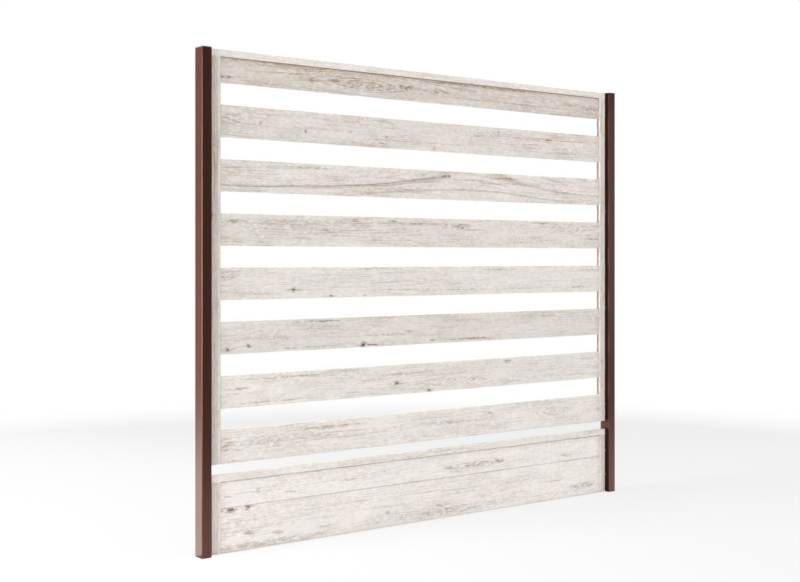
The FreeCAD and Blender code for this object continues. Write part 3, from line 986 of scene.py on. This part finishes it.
class ScreenSizes(bpy.types.PropertyGroup):
    """Sizes that the frame does not give."""

    board_wall: bpy.props.FloatProperty(
        name="Board wall", description="Wall of the hollow boards", subtype="DISTANCE",
        min=0.0005, default=0.0013)
    board_cells: bpy.props.IntProperty(
        name="Board cells", description="Cells between a board's ribs", min=1, default=3)
    board_radius: bpy.props.FloatProperty(
        name="Board edge", description="Radius of a board's long edges", subtype="DISTANCE",
        min=0.0001, default=0.0015)
    cell_radius: bpy.props.FloatProperty(
        name="Cell corner", description="Radius in the corners of a board's cells",
        subtype="DISTANCE", min=0.0001, default=0.0003)
    post_wall: bpy.props.FloatProperty(
        name="Post wall", description="Wall of the posts", subtype="DISTANCE",
        min=0.0005, default=0.002)
    post_radius: bpy.props.FloatProperty(
        name="Post corner", description="Radius of a post's corners", subtype="DISTANCE",
        min=0.0001, default=0.003)
    spacer_radius: bpy.props.FloatProperty(
        name="Spacer edge", description="Radius of a spacer's upright edges", subtype="DISTANCE",
        min=0.0001, default=0.001)
    bead_strip: bpy.props.FloatProperty(
        name="Bead strip", description="Paler strip of a stile beside its bead", subtype="DISTANCE",
        min=0.0, default=0.0085)
    corner_steps: bpy.props.IntProperty(
        name="Corner steps", description="Faces round each corner", min=2, default=6)


class FastenerSizes(bpy.types.PropertyGroup):
    """Sizes of the screws, bolts, sleeves and rivet nuts that the frame does not give."""

    screw_head: bpy.props.FloatProperty(
        name="Screw head", description="Height of a screw's countersunk head",
        subtype="DISTANCE", min=0.0001, default=0.00175)
    screw_shank: bpy.props.FloatProperty(
        name="Screw shank", description="Radius over a screw's thread", subtype="DISTANCE",
        min=0.0001, default=0.0017)
    screw_pitch: bpy.props.FloatProperty(
        name="Screw pitch", description="Pitch of a screw's thread", subtype="DISTANCE",
        min=0.0001, default=0.0014)
    screw_thread: bpy.props.FloatProperty(
        name="Screw thread", description="Depth of a screw's thread", subtype="DISTANCE",
        min=0.0, default=0.00035)
    recess_span: bpy.props.FloatProperty(
        name="Recess span", description="Length of each slot in a screw's head",
        subtype="DISTANCE", min=0.0, default=0.0036)
    recess_width: bpy.props.FloatProperty(
        name="Recess width", description="Width of each slot in a screw's head",
        subtype="DISTANCE", min=0.0, default=0.0008)
    recess_depth: bpy.props.FloatProperty(
        name="Recess depth", description="Depth of the slots in a screw's head",
        subtype="DISTANCE", min=0.0, default=0.0010)
    bolt_head: bpy.props.FloatProperty(
        name="Bolt head", description="Height of a bolt's head", subtype="DISTANCE",
        min=0.0001, default=0.0033)
    bolt_shank: bpy.props.FloatProperty(
        name="Bolt shank", description="Radius over a bolt's thread", subtype="DISTANCE",
        min=0.0001, default=0.00295)
    bolt_pitch: bpy.props.FloatProperty(
        name="Bolt pitch", description="Pitch of a bolt's thread", subtype="DISTANCE",
        min=0.0001, default=0.0010)
    bolt_thread: bpy.props.FloatProperty(
        name="Bolt thread", description="Depth of a bolt's thread", subtype="DISTANCE",
        min=0.0, default=0.0005)
    socket_radius: bpy.props.FloatProperty(
        name="Socket", description="Radius over the corners of a bolt's hexagon socket",
        subtype="DISTANCE", min=0.0001, default=0.0023)
    socket_depth: bpy.props.FloatProperty(
        name="Socket depth", description="Depth of a bolt's socket", subtype="DISTANCE",
        min=0.0001, default=0.002)
    nut_flange: bpy.props.FloatProperty(
        name="Nut flange", description="Height of a rivet nut's flange", subtype="DISTANCE",
        min=0.0001, default=0.001)
    nut_body: bpy.props.FloatProperty(
        name="Nut body", description="Radius of a rivet nut's body", subtype="DISTANCE",
        min=0.0001, default=0.0045)
    nut_bulge: bpy.props.FloatProperty(
        name="Nut bulge", description="Radius of a rivet nut's crimped bulge", subtype="DISTANCE",
        min=0.0001, default=0.0055)
    nut_bulge_height: bpy.props.FloatProperty(
        name="Bulge height", description="Height of a rivet nut's crimped bulge",
        subtype="DISTANCE", min=0.0001, default=0.003)
    nut_bore: bpy.props.FloatProperty(
        name="Nut bore", description="Radius of a rivet nut's bore", subtype="DISTANCE",
        min=0.0001, default=0.003)
    sleeve_bore: bpy.props.FloatProperty(
        name="Sleeve bore", description="Radius of a sleeve's bore", subtype="DISTANCE",
        min=0.0001, default=0.0033)
    steps: bpy.props.IntProperty(
        name="Steps", description="Faces round each fastener", min=6, default=24)


class ScreenStage(bpy.types.PropertyGroup):
    """Camera and light."""

    camera_place: bpy.props.FloatVectorProperty(
        name="Camera place", description="Where the camera stands", subtype="TRANSLATION", size=3,
        default=(-3.22137, -4.03222, 1.09233))
    camera_heading: bpy.props.FloatProperty(
        name="Camera heading", description="Turn of the camera about the vertical", subtype="ANGLE",
        default=math.radians(-37.205))
    camera_lens: bpy.props.FloatProperty(
        name="Lens", description="Focal length", subtype="DISTANCE_CAMERA", default=55.786)
    camera_shift: bpy.props.FloatProperty(
        name="Shift", description="Vertical shift of the lens, as the photograph's framing needs",
        default=-0.04226)
    sky: bpy.props.FloatProperty(
        name="Sky", description="Light from all round", min=0.0, default=0.47)
    key: bpy.props.FloatProperty(
        name="Key light", description="Power of the soft light overhead", subtype="POWER",
        min=0.0, default=135.0)
    side: bpy.props.FloatProperty(
        name="Side light", description="Power of the soft light on the left", subtype="POWER",
        min=0.0, default=860.0)
    strip: bpy.props.FloatProperty(
        name="Strip light", description="Power of the tall light in front on the left",
        subtype="POWER", min=0.0, default=40.0)
    fill: bpy.props.FloatProperty(
        name="Fill light", description="Power of the soft light in front on the right",
        subtype="POWER", min=0.0, default=42.0)
    glow: bpy.props.FloatProperty(
        name="Floor glow", description="Brightness of the floor that the coat and wash mirror",
        min=0.0, default=5.2)
    glint: bpy.props.FloatProperty(
        name="Corner glint", description="Brightness of the tall panel that the posts' corners mirror",
        min=0.0, default=60.0)


# Operators

class GARDEN_SCREEN_OT_boards(bpy.types.Operator):
    """Makes the ten hollow boards, each with its own oak grain"""

    bl_idname = "garden_screen.boards"
    bl_label = "Boards"

    def execute(self, context):
        sizes = context.scene.screen_sizes
        shop = OakShop(context.scene.screen_finish)
        tree = hollow_profile()
        half_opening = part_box("upper_right_stile")[0].x
        for name in UPPER_BOARDS + LOWER_BOARDS:
            low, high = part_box(name)
            rail_shadow = None
            joint = None
            # The painted shadow under a rail starts at the rail's lower edge
            if name in RAIL_SHADE:
                rail, dark = RAIL_SHADE[name]
                rail_shadow = Seam(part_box(rail)[0].z - low.z, dark)
            if name in BOARD_JOINT:
                joint = (high.z - low.z) * BOARD_JOINT[name]
            material = shop.board(name, low.z, half_opening, rail_shadow, joint)
            centre = (low + high) / 2
            start = points_at(name + "_end", [(low.x, centre.y, centre.z)],
                              [(math.pi / 2, 0.0, math.pi / 2)])
            board = grown_piece(name + "_planed", start, tree, {
                "Width": high.y - low.y, "Height": high.z - low.z, "Length": high.x - low.x,
                "Wall": sizes.board_wall, "Cells": sizes.board_cells,
                "Outer radius": sizes.board_radius, "Inner radius": sizes.cell_radius,
                "Corner steps": sizes.corner_steps, "Material": material})
            stand_for(board, "board_decor", name)
        return {"FINISHED"}


class GARDEN_SCREEN_OT_frames(bpy.types.Operator):
    """Finishes the rails, stiles and strips of both panels"""

    bl_idname = "garden_screen.frames"
    bl_label = "Frames"

    def execute(self, context):
        shop = OakShop(context.scene.screen_finish)
        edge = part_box("upper_right_stile")[0].x + context.scene.screen_sizes.bead_strip
        for number, panel in enumerate(PANELS):
            for side, tone in STILE_TONE.items():
                name = "%s_%s_stile" % (panel, side)
                oak = shop.trim(name + "_oak", STILE_SEED[side] + number, tone, True, edge)
                dress(name, oak)
            rail_oak = shop.trim(panel + "_rail_oak", RAIL_SEED + number, RAIL_TONE)
            dress(panel + "_top_rail", rail_oak)
            strip_oak = shop.trim(panel + "_strip_oak", STRIP_SEED + number, STRIP_TONE)
            dress(panel + "_bottom_strip", strip_oak)
        return {"FINISHED"}


class GARDEN_SCREEN_OT_posts(bpy.types.Operator):
    """Makes the two brown posts"""

    bl_idname = "garden_screen.posts"
    bl_label = "Posts"

    def execute(self, context):
        sizes = context.scene.screen_sizes
        tree = hollow_profile()
        material = coat_material(context.scene.screen_finish)
        for name in POSTS:
            low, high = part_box(name)
            centre = (low + high) / 2
            foot = points_at(name + "_foot", [(centre.x, centre.y, low.z)], [(0.0, 0.0, 0.0)])
            post = grown_piece(name + "_tube", foot, tree, {
                "Width": high.x - low.x, "Height": high.y - low.y, "Length": high.z - low.z,
                "Wall": sizes.post_wall, "Cells": 1, "Outer radius": sizes.post_radius,
                "Inner radius": sizes.post_radius - sizes.post_wall,
                "Corner steps": sizes.corner_steps, "Material": material})
            stand_for(post, "post_coat", name)
        return {"FINISHED"}


class GARDEN_SCREEN_OT_caps(bpy.types.Operator):
    """Finishes the post caps"""

    bl_idname = "garden_screen.caps"
    bl_label = "Caps"

    def execute(self, context):
        material = cap_plastic(context.scene.screen_finish)
        for node in ("left_post_cap", "right_post_cap"):
            dress(node, material)
        return {"FINISHED"}


class GARDEN_SCREEN_OT_spacers(bpy.types.Operator):
    """Makes the spacers that hold the slats apart"""

    bl_idname = "garden_screen.spacers"
    bl_label = "Spacers"

    def execute(self, context):
        sizes = context.scene.screen_sizes
        tree = spacer_tree()
        material = plastic_material("spacer_plastic", context.scene.screen_finish.spacer, 0.6)
        for node in ("left_board_spacers", "right_board_spacers"):
            places = []
            for low, high in loose_boxes(node):
                places.append(((low.x + high.x) / 2, (low.y + high.y) / 2, low.z))
                size = high - low
            feet = points_at(node + "_feet", places, [(0.0, 0.0, 0.0)] * len(places))
            spacers = grown_piece(node + "_moulded", feet, tree, {
                "Width": size.x, "Depth": size.y, "Height": size.z,
                "Edge radius": sizes.spacer_radius, "Corner steps": sizes.corner_steps,
                "Material": material})
            stand_for(spacers, "spacer_plastic", node)
        return {"FINISHED"}


class GARDEN_SCREEN_OT_blocks(bpy.types.Operator):
    """Finishes the corner blocks inside the frames"""

    bl_idname = "garden_screen.blocks"
    bl_label = "Corner blocks"

    def execute(self, context):
        material = plastic_material("block_plastic", context.scene.screen_finish.block, 0.55)
        for node in ("rail_corner_blocks", "strip_corner_blocks"):
            dress(node, material)
        return {"FINISHED"}


class GARDEN_SCREEN_OT_screws(bpy.types.Operator):
    """Makes the countersunk screws in the frames' corners and under their strips"""

    bl_idname = "garden_screen.screws"
    bl_label = "Screws"

    def execute(self, context):
        sizes = context.scene.fastener_sizes
        tree = screw_tree()
        material = steel(context.scene.screen_finish)
        for node, facing in (("frame_screws", facing_back), ("strip_screws", facing_down)):
            points, radius, length = heads(node, facing)
            screws = grown_piece(node + "_cut", points, tree, {
                "Head radius": radius, "Head height": sizes.screw_head,
                "Shank radius": sizes.screw_shank, "Length": length, "Pitch": sizes.screw_pitch,
                "Thread depth": sizes.screw_thread, "Recess span": sizes.recess_span,
                "Recess width": sizes.recess_width, "Recess depth": sizes.recess_depth,
                "Steps": sizes.steps, "Material": material})
            stand_for(screws, "screw_steel", node)
        return {"FINISHED"}


class GARDEN_SCREEN_OT_bolts(bpy.types.Operator):
    """Makes the bolts that join the panels to the posts"""

    bl_idname = "garden_screen.bolts"
    bl_label = "Bolts"

    def execute(self, context):
        sizes = context.scene.fastener_sizes
        points, radius, length = heads("post_bolts", facing_middle)
        bolts = grown_piece("post_bolts_cut", points, bolt_tree(), {
            "Head radius": radius, "Head height": sizes.bolt_head,
            "Shank radius": sizes.bolt_shank, "Length": length, "Pitch": sizes.bolt_pitch,
            "Thread depth": sizes.bolt_thread, "Socket radius": sizes.socket_radius,
            "Socket depth": sizes.socket_depth, "Steps": sizes.steps,
            "Material": steel(context.scene.screen_finish)})
        stand_for(bolts, "screw_steel", "post_bolts")
        return {"FINISHED"}


class GARDEN_SCREEN_OT_nuts(bpy.types.Operator):
    """Makes the rivet nuts in the posts and the sleeves in front of them"""

    bl_idname = "garden_screen.nuts"
    bl_label = "Rivet nuts and sleeves"

    def execute(self, context):
        finish = context.scene.screen_finish
        sizes = context.scene.fastener_sizes
        points, radius, length = heads("rivet_nuts", facing_middle)
        nuts = grown_piece("rivet_nuts_cut", points, nut_tree(), {
            "Flange radius": radius, "Flange height": sizes.nut_flange,
            "Body radius": sizes.nut_body, "Bulge radius": sizes.nut_bulge,
            "Bulge height": sizes.nut_bulge_height, "Bore": sizes.nut_bore,
            "Post wall": context.scene.screen_sizes.post_wall, "Length": length,
            "Steps": sizes.steps, "Material": steel(finish)})
        stand_for(nuts, "screw_steel", "rivet_nuts")
        points, radius, length = heads("spacer_sleeves", facing_middle)
        sleeves = grown_piece("spacer_sleeves_cut", points, sleeve_tree(), {
            "Radius": radius, "Bore": sizes.sleeve_bore, "Length": length, "Steps": sizes.steps,
            "Material": cap_plastic(finish)})
        stand_for(sleeves, "cap_plastic", "spacer_sleeves")
        return {"FINISHED"}


def white_when_seen(net, lit, seen):
    """Shows one shader to camera, mirror and glass rays, and another to the light itself."""
    path = net.node("ShaderNodeLightPath")
    straight = [Flow(net, path.outputs[name]) for name in
                ("Is Camera Ray", "Is Glossy Ray", "Is Transmission Ray")]
    looked = net.math("MAXIMUM", net.math("MAXIMUM", straight[0], straight[1]), straight[2])
    return net.out("ShaderNodeMixShader", {0: looked, 1: lit, 2: seen})


def floor_material():
    """A pale floor that fades to white with distance and keeps the screen's soft shadow."""
    material = bpy.data.materials.new("pale_floor")
    material.use_nodes = True
    material.node_tree.nodes.clear()
    net = Net(material.node_tree)
    lit = net.out("ShaderNodeBsdfDiffuse", {"Color": FLOOR_BOUNCE})
    shaded = net.out("ShaderNodeBsdfDiffuse", {"Color": FLOOR_SEEN})
    white = net.out("ShaderNodeEmission", {"Color": WHITE, "Strength": 1.0})
    place = object_place(net)
    distance = net.vector_math("LENGTH", place, output="Value")
    # The white veil over the floor thins from the left post to the right one and closes far away
    near = net.ramp(net.parts(place)[0], -1.6, 0.6, 0.93, 0.70)
    veil = net.math("MAXIMUM", near, net.ramp(distance, 1.2, 4.5, 0.0, 1.0))
    seen = net.out("ShaderNodeMixShader", {0: veil, 1: shaded, 2: white})
    surface = white_when_seen(net, lit, seen)
    net.node("ShaderNodeOutputMaterial", {"Surface": surface})
    return material


class GARDEN_SCREEN_OT_stage(bpy.types.Operator):
    """Sets the pale floor, the white surroundings, the soft lights and the camera"""

    bl_idname = "garden_screen.stage"
    bl_label = "Stage"

    def execute(self, context):
        stage = context.scene.screen_stage
        self.floor()
        self.world(context, stage)
        self.lamp("Key", (0.4, -1.7, 5.2), SCREEN_MIDDLE, 3.0, 2.4, stage.key)
        self.lamp("Side", (-5.5, 0.9, 1.05), SCREEN_MIDDLE, 2.2, 1.8, stage.side)
        self.lamp("Strip", LEFT_FRONT, SCREEN_MIDDLE, 0.5, 2.8, stage.strip)
        self.lamp("Fill", (4.0, -2.9, 1.3), SCREEN_MIDDLE, 2.0, 2.0, stage.fill)
        self.glow("Front glow", (-1.4, -1.2), (3.2, -0.02), stage.glow)
        self.glow("Back glow", (-4.0, 0.02), (0.4, 2.6), stage.glow)
        self.mirrored("Corner glint", LEFT_FRONT, (-1.1, 0.0, 1.1), 2.0, 3.2, stage.glint)
        self.camera(context, stage)
        context.scene.view_settings.view_transform = "Standard"
        return {"FINISHED"}

    def floor(self):
        mesh = bpy.data.meshes.new("studio_floor")
        builder = bmesh.new()
        bmesh.ops.create_circle(builder, cap_ends=True, segments=96, radius=FLOOR_RADIUS)
        builder.to_mesh(mesh)
        builder.free()
        mesh.materials.append(floor_material())
        floor = bpy.data.objects.new("studio_floor", mesh)
        bpy.context.scene.collection.objects.link(floor)

    def world(self, context, stage):
        world = bpy.data.worlds.new("white_studio")
        world.use_nodes = True
        world.node_tree.nodes.clear()
        net = Net(world.node_tree)
        lit = net.out("ShaderNodeBackground", {"Color": WHITE, "Strength": stage.sky})
        seen = net.out("ShaderNodeBackground", {"Color": WHITE, "Strength": 1.0})
        net.node("ShaderNodeOutputWorld", {"Surface": white_when_seen(net, lit, seen)})
        context.scene.world = world

    def lamp(self, name, place, target, width, height, power):
        light = bpy.data.lights.new(name, "AREA")
        light.shape = "RECTANGLE"
        light.size = width
        light.size_y = height
        light.energy = power
        lamp = bpy.data.objects.new(name, light)
        lamp.location = place
        direction = Vector(target) - Vector(place)
        lamp.rotation_euler = direction.to_track_quat("-Z", "Y").to_euler()
        lamp.visible_camera = False
        bpy.context.scene.collection.objects.link(lamp)
        return lamp

    def mirrored(self, name, place, target, width, height, brightness):
        """A panel of a set brightness that is seen only in reflections."""
        power = brightness * math.pi * width * height
        panel = self.lamp(name, place, target, width, height, power)
        panel.visible_diffuse = False

    def glow(self, name, low, high, brightness):
        """A bright stretch of floor from one corner to the other, seen only in reflections."""
        width, depth = high[0] - low[0], high[1] - low[1]
        middle = ((low[0] + high[0]) / 2, (low[1] + high[1]) / 2)
        self.mirrored(name, (*middle, GLOW_RISE), (*middle, 1.0), width, depth, brightness)

    def camera(self, context, stage):
        lens = bpy.data.cameras.new("Camera")
        lens.lens = stage.camera_lens
        lens.sensor_width = 36.0
        lens.shift_y = stage.camera_shift
        camera = bpy.data.objects.new("Camera", lens)
        camera.location = stage.camera_place
        camera.rotation_euler = (math.pi / 2, 0.0, stage.camera_heading)
        context.scene.collection.objects.link(camera)
        context.scene.camera = camera


class GARDEN_SCREEN_PT_panel(bpy.types.Panel):
    """The screen's settings and its steps in order"""

    bl_label = "Garden privacy screen"
    bl_idname = "GARDEN_SCREEN_PT_panel"
    bl_space_type = "VIEW_3D"
    bl_region_type = "UI"
    bl_category = "Screen"

    def draw(self, context):
        layout = self.layout
        for group in (context.scene.screen_sizes, context.scene.fastener_sizes,
                      context.scene.screen_finish, context.scene.screen_stage):
            box = layout.box()
            for name in group.bl_rna.properties.keys():
                if name not in ("rna_type", "name"):
                    box.prop(group, name)
        for step in STEPS:
            layout.operator(step.bl_idname)


STEPS = [GARDEN_SCREEN_OT_boards, GARDEN_SCREEN_OT_frames, GARDEN_SCREEN_OT_posts,
         GARDEN_SCREEN_OT_caps, GARDEN_SCREEN_OT_spacers, GARDEN_SCREEN_OT_blocks,
         GARDEN_SCREEN_OT_screws, GARDEN_SCREEN_OT_bolts, GARDEN_SCREEN_OT_nuts,
         GARDEN_SCREEN_OT_stage]
CLASSES = [ScreenFinish, ScreenSizes, FastenerSizes, ScreenStage] + STEPS + [GARDEN_SCREEN_PT_panel]


def register():
    for made in CLASSES:
        bpy.utils.register_class(made)
    bpy.types.Scene.screen_finish = bpy.props.PointerProperty(type=ScreenFinish)
    bpy.types.Scene.screen_sizes = bpy.props.PointerProperty(type=ScreenSizes)
    bpy.types.Scene.fastener_sizes = bpy.props.PointerProperty(type=FastenerSizes)
    bpy.types.Scene.screen_stage = bpy.props.PointerProperty(type=ScreenStage)


def unregister():
    del bpy.types.Scene.screen_stage
    del bpy.types.Scene.fastener_sizes
    del bpy.types.Scene.screen_sizes
    del bpy.types.Scene.screen_finish
    for made in reversed(CLASSES):
        bpy.utils.unregister_class(made)


def main():
    register()
    bpy.ops.garden_screen.boards()
    bpy.ops.garden_screen.frames()
    bpy.ops.garden_screen.posts()
    bpy.ops.garden_screen.caps()
    bpy.ops.garden_screen.spacers()
    bpy.ops.garden_screen.blocks()
    bpy.ops.garden_screen.screws()
    bpy.ops.garden_screen.bolts()
    bpy.ops.garden_screen.nuts()
    bpy.ops.garden_screen.stage()


if __name__ == "__main__":
    main()
